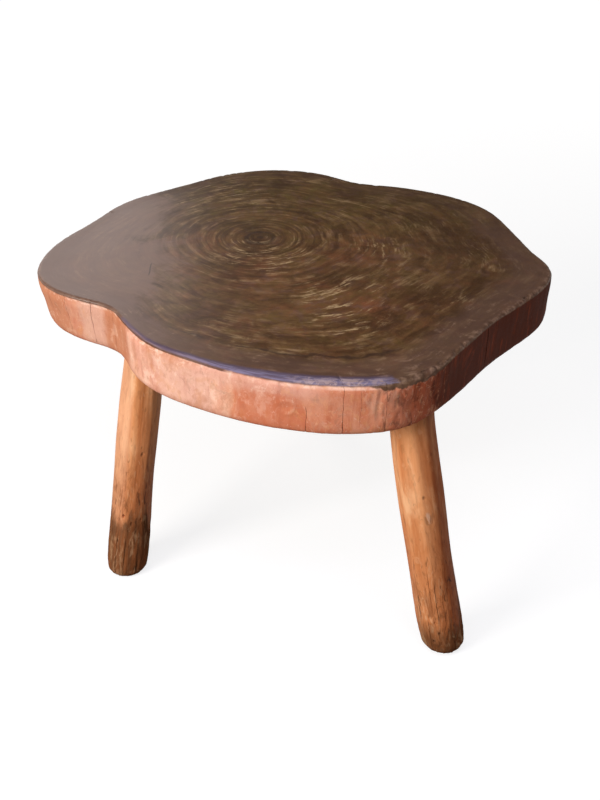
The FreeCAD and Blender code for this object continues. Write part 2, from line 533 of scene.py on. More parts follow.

        # A painted grey sheen on the smooth lobe on the left, and the sapwood along the rim with a dark line
        # inside it and painted glints in its front
        shore = -0.160 - x + cloud.sway(0.28) + broad.sway(0.10) + mottle.sway(0.04)
        smooth = shore.step(0.0, 0.060)
        coats.lay(smooth * 0.72, self.sheen_grey)
        edge = age + cloud.sway(0.10)
        sap = edge.step(0.84, 0.92)
        coats.lay(sap * (1.0 - back * 0.6) * 0.55, self.stain_rim)
        line = edge.within(0.862, 0.866, 0.008) * (-0.10 - y).step(0.0, 0.14)
        coats.lay(line * drift.step(0.40, 0.56) * 0.55, self.crack_and_shadow_dark)
        # Painted glints in the front sapwood band
        glint = (mottle * 0.6 + stroke * 0.4).step(0.54, 0.66)
        coats.lay(sap * (-0.06 - y).step(0.0, 0.10) * glint * 0.45, self.rim_worn_and_glint)

        # The dark heart with the ring round it, and one fine crack on the left
        heart = age.within(0.060, 0.066, 0.014) * 0.5 + age.fall(0.006, 0.040) * 0.45
        coats.lay(heart, self.crack_and_shadow_dark)
        crack = (x + wobble * 0.014).within(-0.1955, -0.1947, 0.0009)
        coats.lay(crack * y.within(-0.044, -0.016, 0.008) * 0.8, self.crack_and_shadow_dark)
        relief = ring * 0.16 + stroke * 0.26 + fleck * 0.18 + arc * 0.22 + mottle * 0.18
        return coats.colour, 0.5 + (relief - 0.5) * (1.0 - smooth * 0.65)

    def rim(self, place: Wire, growth: Wire, colour: Wire) -> Wire:
        """The rim on top of the stain: a painted reflection of a cool sky along the front rim with a painted
        glare in it, scuffs on the sides.

        Args:
            place: the point on the slab.
            growth: 0 at the pith, 1 at the rim.
            colour: the stained face's colour.

        Returns:
            The colour with the rim's marks.
        """
        drop = TABLE_HEIGHT - place.parts()[2]
        bearing = self.facing(place)
        uneven = place.noise(60.0, 3.0, 0.6) - 0.5
        scuff = place.noise(85.0, 5.0, 0.72, 0.5)
        streak = self.strokes(place, growth, 30.0, 240.0, 4.0, 0.62, 0.3)
        coats = Coats(colour)
        spread = growth - 0.008 + uneven * 0.010 + bearing.step(-112.0, -80.0) * 0.028
        # Painted sky reflection on the rounded front rim: a dark slate band with a blue and mauve crest
        sky_reflection = Stretch.BLOOM.at(bearing + uneven * 6.0) * spread.step(0.983, 1.000)
        sky_reflection = sky_reflection * (drop + uneven * 0.0012).fall(0.0016, 0.0030)
        coats.lay(sky_reflection * 0.70, self.rim_slate)
        crest = sky_reflection * spread.step(0.996, 1.008)
        cool = Coats(self.rim_mauve)
        cool.lay(bearing.step(-110.0, -94.0), self.rim_blue)
        coats.lay(crest * (0.15 + streak.step(0.40, 0.58) * 0.80), cool.colour)
        glare = crest * Stretch.GLARE.at(bearing) * scuff.step(0.40, 0.60)
        coats.lay(glare * 0.28, self.wall_white)
        sides = Stretch.RIGHT_SCUFFS.at(bearing) + Stretch.LEFT_SCUFFS.at(bearing) * 0.5
        worn = sides * drop.fall(0.0026, 0.0050) * growth.step(0.984, 1.002)
        coats.lay(worn * scuff.step(0.44, 0.66) * 0.6, self.rim_worn_and_glint)
        return coats.colour

    def wall(self, place: Wire) -> tuple[Wire, Wire]:
        """The debarked edge.

        Args:
            place: the point on the slab.

        Returns:
            Its colour and its relief.
        """
        _, y, z = place.parts()
        drop = TABLE_HEIGHT - z
        bearing = self.facing(place)
        slanted = place.stretched(0.70)
        grain = place.stretched(0.12).noise(150.0, 4.0, 0.64, 0.6)
        broad = place.stretched(0.35).noise(42.0, 4.0, 0.6, 0.5)
        cloud = slanted.noise(18.0, 4.0, 0.6, 0.8)
        mottle = slanted.noise(66.0, 5.0, 0.68, 0.9)
        hue = slanted.moved(2.7, 6.1, 1.3).noise(58.0, 5.0, 0.68, 0.8)
        patchy = slanted.moved(5.1, 0.7, 3.9).noise(44.0, 5.0, 0.70, 0.2)
        scratch = slanted.noise(210.0, 3.0, 0.6, 1.2)
        coats = Coats(self.wall_copper)

        # Broad tones: pink and pale in front and on the left, and copper laid as painted shade to the right
        coats.lay((cloud * 0.5 + broad * 0.5).step(0.38, 0.62), self.wall_pink)
        shade = (bearing + cloud.sway(26.0)).step(-96.0, -83.0)
        shade = shade * bearing.fall(120.0, 176.0)
        coats.lay(shade * 0.48, self.wall_copper)
        blush = Stretch.FRONT_BLUSH.at(bearing + cloud.sway(8.0)) * 0.62
        blush = blush + Stretch.SIDE_BLUSH.at(bearing + mottle.sway(6.0)) * 0.42
        blush = blush + Stretch.LOBE_BLUSH.at(bearing + mottle.sway(6.0)) * 0.70
        coats.lay(blush, self.wall_blush)
        pale = (broad * 0.6 + mottle * 0.4).step(0.45, 0.67) * (1.0 - shade * 0.70)
        coats.lay(pale * 0.80, self.wall_pale)
        coats.lay(Stretch.LOBE.at(bearing) * 0.50, self.wall_rose)
        coats.lay(hue.step(0.52, 0.66) * 0.30, self.wall_gold)
        coats.lay(hue.fall(0.34, 0.48) * 0.35, self.wall_rose)

        # Painted shade in the notch and under the front rim, tan round the left lobe, and a painted sheen
        # and a painted gleam under the front rim
        notch_shade_and_west_tan = Stretch.NOTCH.at(bearing + cloud.sway(6.0)) * 0.80
        notch_shade_and_west_tan = notch_shade_and_west_tan + Stretch.WEST.at(bearing + mottle.sway(8.0)) * 0.70
        notch_shade_and_west_tan = notch_shade_and_west_tan + Stretch.WEST_REST.at(bearing) * 0.70
        # Painted shade just below the rim and its lip
        under_rim_shade = drop.fall(0.0040, 0.0200) * Stretch.UNDER_RIM.at(bearing)
        coats.lay(notch_shade_and_west_tan + under_rim_shade * 0.75, self.wall_tan)
        # Painted sheen on the wall just under the front rim
        front_sheen = (drop + mottle.sway(0.012)).fall(0.010, 0.030) * Stretch.HAZE.at(bearing)
        coats.lay(front_sheen * 0.55, self.wall_sheen)
        gleam = (drop + cloud.sway(0.003)).within(0.0032, 0.0052, 0.0026)
        gleam = gleam * Stretch.GLEAM.at(bearing) * cloud.step(0.34, 0.56)
        coats.lay(gleam * 0.60, self.wall_white)

        # The deep red corner and the dark bay on the right, partly painted shade, with veins, wrinkles and
        # stains
        # Deep red corner, darkened further as painted shade
        deep = (bearing + broad.sway(5.0)).step(-69.2, -63.5)
        deep = deep * bearing.fall(-8.0, 50.0)
        coats.lay(deep * 0.66, self.wall_deep)
        # Dark bay on the right, partly painted shade
        shaded_bay = Stretch.DUSK.at(bearing + cloud.sway(12.0))
        coats.lay(shaded_bay * 0.86, self.wall_dark)
        vein = grain.step(0.52, 0.70) * (0.16 + shade * 0.06 + deep * 0.16)
        coats.lay(vein, self.wall_deep)
        wrinkle = Stretch.WRINKLED.at(bearing) * (grain * 0.5 + mottle * 0.5).step(0.49, 0.58)
        coats.lay(wrinkle * 0.50, self.wall_dark)
        coats.lay(mottle.step(0.56, 0.68) * (0.18 + deep * 0.16), self.wall_dark)
        # Pale mottle outside the dark bay, painted as sheen
        coats.lay(mottle.fall(0.34, 0.46) * (1.0 - shaded_bay) * 0.34, self.wall_pale)
        coats.lay(cloud.step(0.54, 0.66) * shaded_bay * 0.55, self.wall_deep)
        track = abs(slanted.noise(64.0, 3.0, 0.6, 2.2) - 0.5).fall(0.0, 0.016)
        coats.lay(track * (0.14 - shaded_bay * 0.12), self.wall_deep)

        # Flaws and a knot right of the middle, mottle on the left, rust, and nicks that the back lacks
        flaw = slanted.noise(112.0, 4.0, 0.66, 1.0).step(0.54, 0.64)
        coats.lay(flaw * Stretch.FLAWED.at(bearing) * 0.42, self.wall_flaw)
        knot_x = (bearing - self.knot_bearing) * math.radians(FRONT_REACH)
        knot_z = drop - self.knot_drop
        knot = (knot_x * knot_x + knot_z * knot_z).root() + mottle.sway(0.010)
        whorl = knot.within(0.0084, 0.0096, 0.0022) * broad.step(0.40, 0.56)
        coats.lay(whorl * 0.38, self.wall_pale)
        left = Stretch.MOTTLED.at(bearing)
        coats.lay(patchy.step(0.53, 0.64) * left * 0.42, self.wall_tan)
        coats.lay(patchy.fall(0.36, 0.48) * left * 0.36, self.wall_white)
        rust = drop.step(0.014, 0.026) * Stretch.RUST.at(bearing + mottle.sway(8.0))
        coats.lay(rust * 0.50, self.wall_copper)
        rear = (y + cloud.sway(0.10)).step(0.0, 0.16)
        nick = scratch.step(0.62, 0.71) * (1.0 - rear * 0.85)
        coats.lay(nick * (0.22 - shaded_bay * 0.20), self.wall_white)
        coats.lay(rear * 0.35, self.wall_tan)

        # Painted shade along the lower edge, painted glints under the rim, and a painted shadow in the
        # crease under the lip
        # Painted shade where the wall rounds under at its lower edge
        low = z.fall(UNDERSIDE + 0.002, UNDERSIDE + 0.014)
        coats.lay(low * (0.38 - shade * 0.26), self.wall_deep)
        # Painted glints just under the rim
        under_rim_glints = Stretch.LEFT_BITS.at(bearing) + Stretch.FRONT_BITS.at(bearing)
        under_rim_glints = under_rim_glints * (drop + cloud.sway(0.003)).within(0.0046, 0.0068, 0.0014)
        coats.lay(under_rim_glints * mottle.step(0.46, 0.58) * 0.45, self.wall_white)
        # Painted shadow in the crease under the lip
        lip_shadow = (drop + mottle.sway(0.0016)).within(0.0018, 0.0036, 0.0009)
        coats.lay(Stretch.CREASED.at(bearing + mottle.sway(5.0)) * lip_shadow * 0.80, self.crack_and_shadow_dark)
        return coats.colour, grain * 0.30 + broad * 0.20 + scratch * 0.20 + mottle * 0.30

    def sawn(self, place: Wire) -> tuple[Wire, Wire]:
        """The bare underside with its rings and the marks of the saw.

        Args:
            place: the point on the slab.

        Returns:
            Its colour and its relief.
        """
        x, y, _ = place.parts()
        radius = place.graph.vector("SUBTRACT", place, (PITH.x, PITH.y, UNDERSIDE)).length()
        wobble = place.noise(9.0, 2.0) - 0.5
        ring = (radius + wobble * 0.012).bands(self.rings * 3.0, 3.0, 0.62)
        cloud = place.noise(11.0, 3.0, 0.55, 0.6)
        kerf = (x * 0.92 + y * 0.38 + wobble * 0.01).bands(190.0, 2.0, 0.5)
        coats = Coats(self.sawn_dark)
        coats.lay((ring * 0.7 + cloud * 0.5).step(0.45, 0.80), self.sawn_pale)
        coats.lay(kerf.step(0.55, 0.70) * 0.25, self.sawn_dark)
        coats.lay((radius + wobble * 0.02).fall(0.004, 0.012) * 0.7, self.crack_and_shadow_dark)
        return coats.colour, kerf * 0.7 + ring * 0.3

    def material(self) -> bpy.types.Material:
        """Builds the slab's one material, with the stain's ragged lower edge below the rim."""
        graph = Graph(self.name)
        place = graph.place()
        growth = graph.trait(Trait.GROWTH)
        check = graph.trait(Trait.CHECK)
        x, _, z = place.parts()
        drop = TABLE_HEIGHT - z
        bearing = self.facing(place)
        ragged = place.noise(55.0, 4.0, 0.6) - 0.5
        run = place.stretched(0.2).noise(80.0, 4.0, 0.6) - 0.5
        front = Stretch.SHORT_STAIN.at(bearing) * 0.0010
        front = front + Stretch.SHORTER_STAIN.at(bearing) * 0.0009
        corner = Stretch.RUN_CORNER.at(bearing)
        limit = drop + ragged * 0.0026 - corner * (run * 0.014 + 0.0040) + front
        stained = limit.fall(self.stain_line - 0.0010, self.stain_line + 0.0012)
        below = z.fall(UNDERSIDE + 0.0006, UNDERSIDE + 0.0035)
        top_colour, top_relief = self.top(place, growth)
        wall_colour, wall_relief = self.wall(place)
        sawn_colour, sawn_relief = self.sawn(place)
        coats = Coats(wall_colour)
        coats.lay(stained, self.rim(place, growth, top_colour))
        coats.lay(below, sawn_colour)
        coats.lay(check, self.crack_and_shadow_dark)
        relief = wall_relief.toward(top_relief * 0.70, stained).toward(sawn_relief, below)
        roughness = 0.46 + wall_relief.sway(0.3)
        roughness = roughness.toward(0.52 + top_relief.sway(0.45), stained).toward(0.78, below)
        lacquer = drop.fall(0.0014, 0.0036)
        west = (0.06 - x).step(0.0, 0.26)
        coat = 0.06 + (0.42 + west * 0.25 + top_relief.sway(0.5)) * lacquer
        return graph.finish(
            {
                "Base Color": coats.colour,
                "Roughness": roughness,
                "Coat Weight": coat * (1.0 - below) * (1.0 - check),
                "Coat Roughness": self.coat_roughness,
                "Specular IOR Level": self.gloss,
                "Normal": graph.bump(0.55, 0.0012, relief),
            }
        )


@dataclass(frozen=True)
class PoleFinish:
    """Thin honey varnish on a hewn pole, with drying lines, pits and a foot that is dark with floor dirt."""

    name: str = "leg_pole"
    honey: Colour = srgb(226, 156, 104)
    pale: Colour = srgb(246, 204, 160)
    amber: Colour = srgb(200, 124, 74)
    brown: Colour = srgb(118, 68, 38)
    dirt: Colour = srgb(66, 43, 28)
    ash: Colour = srgb(176, 140, 104)
    scuffed: Colour = srgb(206, 178, 158)
    # Colour of the painted light on the legs' lit side
    lit_pale: Colour = srgb(236, 198, 168)
    # Tint of the painted shade on the legs' turned-away sides
    shade_and_darkening: Colour = (0.44, 0.29, 0.19, 1.0)
    coat_roughness: float = 0.28
    gloss: float = 0.0
    scuff_stretch: float = 0.5

    def material(self, scuffs: list[Vector]) -> bpy.types.Material:
        """Builds the finish that all legs share; the grain runs along each leg's own axis.

        Args:
            scuffs: where the varnish is scuffed, as places in the legs' grain.

        Returns:
            The finished material.
        """
        graph = Graph(self.name)
        place = graph.trait(Trait.GRAIN, graph.ATTRIBUTE_VECTOR)
        check = graph.trait(Trait.CHECK)
        soil = graph.trait(Trait.SOIL)
        shade_and_darkening = graph.trait(Trait.AGED)
        lit_side = graph.trait(Trait.SUNNED)
        stretched = place.stretched(0.07)
        drawn = place.stretched(0.30)
        grain = stretched.noise(240.0, 4.0, 0.62, 0.3)
        broad = stretched.noise(62.0, 3.0, 0.55, 0.4)
        cloud = drawn.noise(30.0, 4.0, 0.6, 0.6)
        mottle = drawn.noise(105.0, 4.0, 0.64, 0.8)
        pit = drawn.noise(150.0, 2.0, 0.5, 0.5)
        fibre = place.stretched(0.20).noise(150.0, 4.0, 0.66, 0.9)
        lower = (place.parts()[2]).fall(0.06, 0.26)
        coats = Coats(self.amber)

        # Varnish and grain, browner and rougher towards the foot
        coats.lay((broad * 0.6 + cloud * 0.4).step(0.36, 0.62), self.honey)
        coats.lay(cloud.step(0.50, 0.70) * 0.42, self.pale)
        # Painted light on the side of each leg that faces the key light
        coats.lay(lit_side * (0.6 + broad * 0.6), self.lit_pale)
        coats.lay(grain.step(0.54, 0.74) * 0.28, self.brown)
        coats.lay(mottle.step(0.54, 0.70) * (0.22 + lower * 0.35), self.brown)
        speckle = drawn.noise(190.0, 3.0, 0.6, 0.6).step(0.58, 0.70)
        coats.lay(speckle * (0.18 + lower * 0.25), self.pale)
        coats.lay(lower * 0.55, self.amber)
        coats.lay(lower * (cloud * 0.5 + mottle * 0.5).step(0.42, 0.60) * 0.40, self.brown)
        coats.lay(pit.step(0.63, 0.71) * (0.22 + lower * 0.60), self.dirt)
        coats.lay(fibre.step(0.55, 0.66) * (0.10 + lower * 0.60), self.brown)
        coats.lay(fibre.fall(0.36, 0.45) * lower * 0.30, self.pale)
        line = abs(stretched.noise(52.0, 2.0, 0.5, 1.2) - 0.5).fall(0.0, 0.012)
        coats.lay(line * lower * 0.30, self.dirt)

        # Painted shade on the sides turned from the light, darker towards the foot, and small scuffs through
        # the varnish
        darkened = graph.mix(1.0, coats.colour, self.shade_and_darkening, "MULTIPLY")
        coats.lay(shade_and_darkening + (mottle - 0.5) * shade_and_darkening * 0.8, darkened)
        for mark in scuffs:
            narrow = place.stretched(self.scuff_stretch)
            away = narrow.distance((mark.x, mark.y, mark.z * self.scuff_stretch))
            rubbed = (away + mottle.sway(0.006)).fall(0.0030, 0.0062)
            coats.lay(rubbed * fibre.step(0.40, 0.54) * 0.50, self.scuffed)
            coats.lay(rubbed * fibre.fall(0.38, 0.46) * 0.45, self.dirt)

        # Floor dirt on the foot, with a tide line at its ragged upper edge
        ragged = soil + mottle.sway(0.75) + grain.sway(0.45)
        soiled = ragged.step(0.16, 0.88) * soil.step(0.0, 0.12)
        dirty = Coats(self.dirt)
        dirty.lay((grain * 0.5 + cloud * 0.5).step(0.40, 0.62), self.brown)
        dirty.lay(mottle.step(0.50, 0.66) * 0.60, self.ash)
        coats.lay(soiled * 0.82, dirty.colour)
        tide = ragged.within(0.46, 0.62, 0.16) * cloud.step(0.38, 0.56)
        coats.lay(tide * 0.42, self.dirt)
        coats.lay(check, self.dirt)
        relief = grain * 0.40 + broad * 0.15 + mottle * 0.20 + pit * -0.30 - fibre * lower * 0.7
        return graph.finish(
            {
                "Base Color": coats.colour,
                "Roughness": 0.44 + grain.sway(0.25) + soiled * 0.28,
                "Coat Weight": 0.16 * (1.0 - soiled) * (1.0 - check),
                "Coat Roughness": self.coat_roughness,
                "Specular IOR Level": self.gloss,
                "Normal": graph.bump(0.6, 0.0012, relief),
            }
        )


@dataclass(frozen=True)
class WedgeFinish:
    """Bare split hardwood of the wedges inside the joints."""

    name: str = "hidden_wedge"
    pale: Colour = srgb(206, 168, 118)
    dark: Colour = srgb(158, 116, 74)

    def material(self) -> bpy.types.Material:
        """Builds the finish: straight split grain, dry and rough."""
        graph = Graph(self.name)
        stretched = graph.place().stretched(0.12)
        grain = stretched.noise(420.0, 4.0, 0.6, 0.3)
        colour = graph.mix(grain.step(0.35, 0.68), self.pale, self.dark)
        roughness = 0.62 + grain.sway(0.3)
        normal = graph.bump(0.4, 0.0006, grain)
        return graph.finish({"Base Color": colour, "Roughness": roughness, "Normal": normal})


class CadSkin:
    """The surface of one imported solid, to be felt with rays."""

    REACH = 1.2

    def __init__(self, node: str) -> None:
        """Keeps the node's surface.

        Args:
            node: the node's name in the frame.
        """
        self.node = node
        solid = bmesh.new()
        solid.from_mesh(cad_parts[node].data)
        self.tree = BVHTree.FromBMesh(solid)
        solid.free()

    def outer(self, centre: Vector, outward: Vector) -> float:
        """How far the solid reaches from a centre in a level direction."""
        start = centre + outward * self.REACH
        hit = self.tree.ray_cast(start, -outward)
        if hit[0] is None:
            raise ValueError(f"no surface of {self.node} at height {centre.z:.4f}")
        return (hit[0] - centre).dot(outward)


class RingSkin:
    """A skin grown ring by ring. Each vertex keeps the number of its column."""

    def __init__(self) -> None:
        """Starts with no ring."""
        self.mesh = bmesh.new()
        self.column = self.mesh.verts.layers.int.new(Trait.COLUMN.value)
        self.verts: list[bmesh.types.BMVert] = []
        self.edges: list[bmesh.types.BMEdge] = []

    def start(self, columns: int, where: Callable[[int], Vector]) -> None:
        """Lays a new ring of that many columns, joined to nothing yet."""
        made = bmesh.ops.create_circle(self.mesh, segments=columns, radius=1.0)["verts"]
        for vert in made:
            turn = math.atan2(vert.co.y, vert.co.x) / math.tau
            vert[self.column] = round(turn * columns) % columns
        self.verts = made
        self.edges = list({edge for vert in made for edge in vert.link_edges})
        self.place(where)

    def place(self, where: Callable[[int], Vector]) -> None:
        """Puts each vertex of the open ring in its place."""
        for vert in self.verts:
            vert.co = where(vert[self.column])

    def grow(self, where: Callable[[int], Vector]) -> None:
        """Extrudes the open ring into the next one."""
        grown = bmesh.ops.extrude_edge_only(self.mesh, edges=self.edges)["geom"]
        self.verts = [part for part in grown if isinstance(part, bmesh.types.BMVert)]
        fresh = set(self.verts)
        edges = [part for part in grown if isinstance(part, bmesh.types.BMEdge)]
        self.edges = [edge for edge in edges if edge.verts[0] in fresh and edge.verts[1] in fresh]
        self.place(where)

    def regrow(self, columns: int, where: Callable[[int], Vector]) -> None:
        """Goes on with another number of columns, bridged to the open ring."""
        last = self.edges
        self.start(columns, where)
        bmesh.ops.bridge_loops(self.mesh, edges=last + self.edges)

    def cap(self) -> None:
        """Closes the open ring with a fan."""
        face = bmesh.ops.contextual_create(self.mesh, geom=self.edges)["faces"]
        bmesh.ops.poke(self.mesh, faces=face)


def to_object(mesh: bmesh.types.BMesh, name: str, finish: bpy.types.Material) -> bpy.types.Object:
    """Turns a closed bmesh into an object at the origin.

    Args:
        mesh: the finished mesh, which is used up.
        name: the piece's name.
        finish: its material.

    Returns:
        The linked object.
    """
    bmesh.ops.recalc_face_normals(mesh, faces=mesh.faces)
    dark = mesh.verts.layers.float[Trait.CHECK.value]
    for face in mesh.faces:
        level = face.normal.z < LEVEL_DOWN
        face.smooth = not level and max(vert[dark] for vert in face.verts) < SPLIT_DARK
    for edge in mesh.edges:
        edge.smooth = len({face.smooth for face in edge.link_faces}) == 1
    data = bpy.data.meshes.new(name)
    mesh.to_mesh(data)
    mesh.free()
    data.materials.append(finish)
    piece = bpy.data.objects.new(name, data)
    bpy.context.scene.collection.objects.link(piece)
    return piece


@dataclass(frozen=True)
class Check:
    """A drying check: a narrow open split that runs along the grain."""

    bearing: float
    depth: float
    half_width: float
    from_height: float
    to_height: float
    onto_top: float = 0.0
    gape: float = 0.0
    wander: float = 0.0012

    def lies_at(self, height: float, reach: float, offset: int) -> float:
        """Where a column of the check lies.

        Args:
            height: the height of the ring.
            reach: how far the surface is from the centre.
            offset: 0 for the column at the bottom of the split, -1 and 1 for its lips.

        Returns:
            The column's bearing in degrees.
        """
        stray = noise.noise(Vector((self.bearing, height * 60.0, 3.0))) * self.wander
        stray += noise.noise(Vector((self.bearing, height * 210.0, 7.0))) * self.wander * 0.4
        middle = (self.from_height + self.to_height) / 2.0
        opening = 1.0 + self.gape * (1.0 - smoothstep(height, self.from_height, middle))
        return self.bearing + math.degrees((stray + offset * self.half_width * opening) / reach)

    def open_at(self, height: float, fade: float) -> float:
        return plateau(height, self.from_height, self.to_height, fade)


def split_columns(checks: tuple[Check, ...], columns: int) -> dict[int, tuple[Check, int]]:
    """The columns that checks take, each with its check and its offset from the bottom of the split."""
    taken = {}
    for check in checks:
        nearest = round(check.bearing / 360.0 * columns)
        for offset in (-1, 0, 1):
            taken[(nearest + offset) % columns] = (check, offset)
    return taken


@dataclass(frozen=True)
class Ripple:
    """Smooth waves in a surface: how close they lie in plan and upright, and how high they are."""

    level: float
    upright: float
    height: float

    def at(self, point: Vector) -> float:
        """The wave's height at a point."""
        spot = Vector((point.x * self.level, point.y * self.level, point.z * self.upright))
        return noise.noise(spot) * self.height


@dataclass
class Slab:
    """The trunk slab: stained face, natural wall and sawn underside with its three blind mortises."""

    legs: list["HewnLeg"]
    node: str = "top_slab"
    columns: int = 1080
    samples: int = 720
    wall_rows: int = 26
    rim_rows: int = 7
    foot_rows: int = 6
    soft_rim: float = 0.0110
    crisp_rim: float = 0.0042
    under_round: float = 0.0105
    under_inset: float = 0.0008
    under_step: float = 0.012
    skin_depth: float = 0.0011
    swell: Ripple = Ripple(17.0, 5.0, 0.0011)
    flute: Ripple = Ripple(85.0, 7.0, 0.00045)
    fine: Ripple = Ripple(240.0, 16.0, 0.00020)
    bark: Ripple = Ripple(120.0, 34.0, 0.0034)
    knot_bearing: float = 275.8
    knot_drop: float = 0.036
    mortise_radius: float = 0.02015
    mortise_depth: float = 0.050
    mouth_columns: int = 48
    check_fade: float = 0.006
    darkest_depth: float = 0.0028
    wall_growth: float = 0.985
    rim_shares: tuple[float, ...] = (0.992, 0.984, 0.974, 0.962, 0.948)
    ring_step: float = 0.03
    face_rings: tuple[tuple[int, float, int], ...] = ((360, 0.93, 16), (180, 0.45, 9), (60, 0.18, 5))
    heart_shares: tuple[float, ...] = (0.04, 0.02)
    checks: tuple[Check, ...] = (
        Check(215.3, 0.0020, 0.0003, 0.394, 0.447),
        Check(222.7, 0.0028, 0.0004, 0.376, 0.448, 0.003, 0.3),
        Check(230.2, 0.0012, 0.0003, 0.384, 0.440),
        Check(279.0, 0.0022, 0.0003, 0.380, 0.414, 0.0, 0.8),
        Check(284.7, 0.0028, 0.0003, 0.376, 0.450, 0.012, 1.4),
        Check(287.3, 0.0010, 0.0002, 0.396, 0.448, 0.002),
        Check(291.2, 0.0020, 0.0003, 0.376, 0.446, 0.0, 0.3),
        Check(20.0, 0.0060, 0.0008, 0.376, 0.446),
        Check(64.0, 0.0080, 0.0010, 0.376, 0.450, 0.022),
        Check(112.0, 0.0050, 0.0008, 0.382, 0.448),
        Check(158.0, 0.0070, 0.0009, 0.376, 0.450, 0.012),
        Check(318.0, 0.0050, 0.0008, 0.378, 0.440),
    )

    def __post_init__(self) -> None:
        """Feels the solid's widest contour and finds the columns that the checks take."""
        self.skin = CadSkin(self.node)
        self.splits = split_columns(self.checks, self.columns)
        self.rim_start = TABLE_HEIGHT - self.soft_rim
        centre = pith_at(self.rim_start)
        turns = [step * 360.0 / self.samples for step in range(self.samples)]
        self.reaches = [self.skin.outer(centre, heading(turn)) for turn in turns]
        self.mean_reach = sum(self.reaches) / self.samples

    def reach(self, bearing: float) -> float:
        """How far the widest contour is from the pith at a bearing in degrees."""
        at = (bearing % 360.0) / 360.0 * self.samples
        low = int(at) % self.samples
        share = at - int(at)
        return self.reaches[low] * (1.0 - share) + self.reaches[(low + 1) % self.samples] * share

    def layout(self, bearing: float, share: float) -> float:
        """The radius of a growth ring: round near the pith, and lobed as the trunk is near the rim."""
        lobed = smoothstep(share, 0.15, 1.0)
        edge = self.reach(bearing) - self.rim(bearing)
        return share * (self.mean_reach * (1.0 - lobed) + edge * lobed)

    def growth_at(self, point: Vector) -> float:
        """Which growth ring a point lies on, 1 at the rim, by halving."""
        offset = point - PITH
        bearing = math.degrees(math.atan2(offset.y, offset.x))
        radius = math.hypot(offset.x, offset.y)
        low, high = 0.0, 1.3
        for _ in range(22):
            middle = (low + high) / 2.0
            if self.layout(bearing, middle) < radius:
                low = middle
            else:
                high = middle
        return (low + high) / 2.0

    def rim(self, bearing: float) -> float:
        """The rim's rounding: soft along the front, crisp on the lobes to either side and at the back."""
        front = Form.SOFT_RIM.at(bearing % 360.0)
        uneven = 0.18 * noise.noise(heading(bearing) * 7.0)
        return (self.crisp_rim + (self.soft_rim - self.crisp_rim) * front) * (1.0 + uneven)

    def own_bearing(self, column: int) -> float:
        """The bearing of a column in degrees, where no check moves it."""
        return column * 360.0 / self.columns

    def bearing(self, column: int, height: float) -> float:
        """The bearing of a column at a height, drawn together where a check splits the wall."""
        base = self.own_bearing(column)
        if column in self.splits:
            check, offset = self.splits[column]
            return check.lies_at(height, self.reach(base), offset)
        return base

    def split_depth(self, column: int, height: float) -> float:
        """How deep a check is at the bottom of its column."""
        check, offset = self.splits.get(column, (None, 1))
        if check is None or offset != 0:
            return 0.0
        uneven = max(0.65 + 0.85 * noise.noise(Vector((check.bearing, height * 70.0, 1.0))), 0.1)
        return check.depth * check.open_at(height, self.check_fade) * uneven

    def relief(self, bearing: float, point: Vector) -> float:
        """How far the wall lies inside the solid's: swells, flutes, bark, the lip and a small knot."""
        drop = TABLE_HEIGHT - point.z
        calm = min(smoothstep(abs(bearing % 360.0 - check.bearing), 0.4, 2.4) for check in self.checks)
        depth = self.skin_depth + self.swell.at(point) + (self.flute.at(point) + self.fine.at(point)) * calm
        depth += Form.BARK.at(bearing) * abs(self.bark.at(point))
        lip = Form.LIP.at(bearing) + 0.35 * Form.LEFT_LIP.at(bearing)
        depth += lip * hump(drop, 0.0060, 0.0048) * 0.0018
        knot_x = math.radians(bearing - self.knot_bearing) * FRONT_REACH
        from_knot = math.hypot(knot_x, drop - self.knot_drop)
        depth -= hump(from_knot, 0.0095, 0.0035) * 0.0007
        depth += hump(from_knot, 0.0, 0.0060) * 0.0008
        return max(depth, 0.0)

    def wall_point(self, column: int, height: float, inset: float, felt: float) -> Vector:
        """A vertex of the wall.

        Args:
            column: its column.
            height: its height.
            inset: how far it is drawn in for the rounded rim.
            felt: the height at which the solid's wall is felt.

        Returns:
            Its place.
        """
        bearing = self.bearing(column, height)
        outward = heading(bearing)
        reach = self.skin.outer(pith_at(felt), outward) - inset
        place = pith_at(height) + outward * reach
        reach -= self.relief(bearing, place) + self.split_depth(column, height)
        return pith_at(height) + outward * reach

    def rim_point(self, column: int, turn: float) -> Vector:
        """A vertex of the rounded rim, at a turn from 0 on the wall to a quarter circle on the face."""
        base = self.own_bearing(column)
        rounding = self.rim(base)
        height = TABLE_HEIGHT - rounding * (1.0 - math.sin(turn))
        inset = rounding * (1.0 - math.cos(turn))
        chip = Form.CHIPPED.at(base) + 0.4 * Form.CHIPPED_BACK.at(base)
        nick = max(noise.noise(heading(base) * 38.0) - 0.22, 0.0) * 0.006 * chip
        point = self.wall_point(column, height, inset + nick * math.sin(turn), self.rim_start)
        point.z -= nick * 0.5 * math.sin(turn)
        return point

    def rising_point(self, column: int, low: float, share: float) -> Vector:
        """A vertex of the plain wall, at a share of the way from its low end to where the rim begins."""
        if share >= 1.0:
            return self.rim_point(column, 0.0)
        high = TABLE_HEIGHT - self.rim(self.own_bearing(column))
        height = low + (high - low) * share
        return self.wall_point(column, height, 0.0, min(height, self.rim_start))

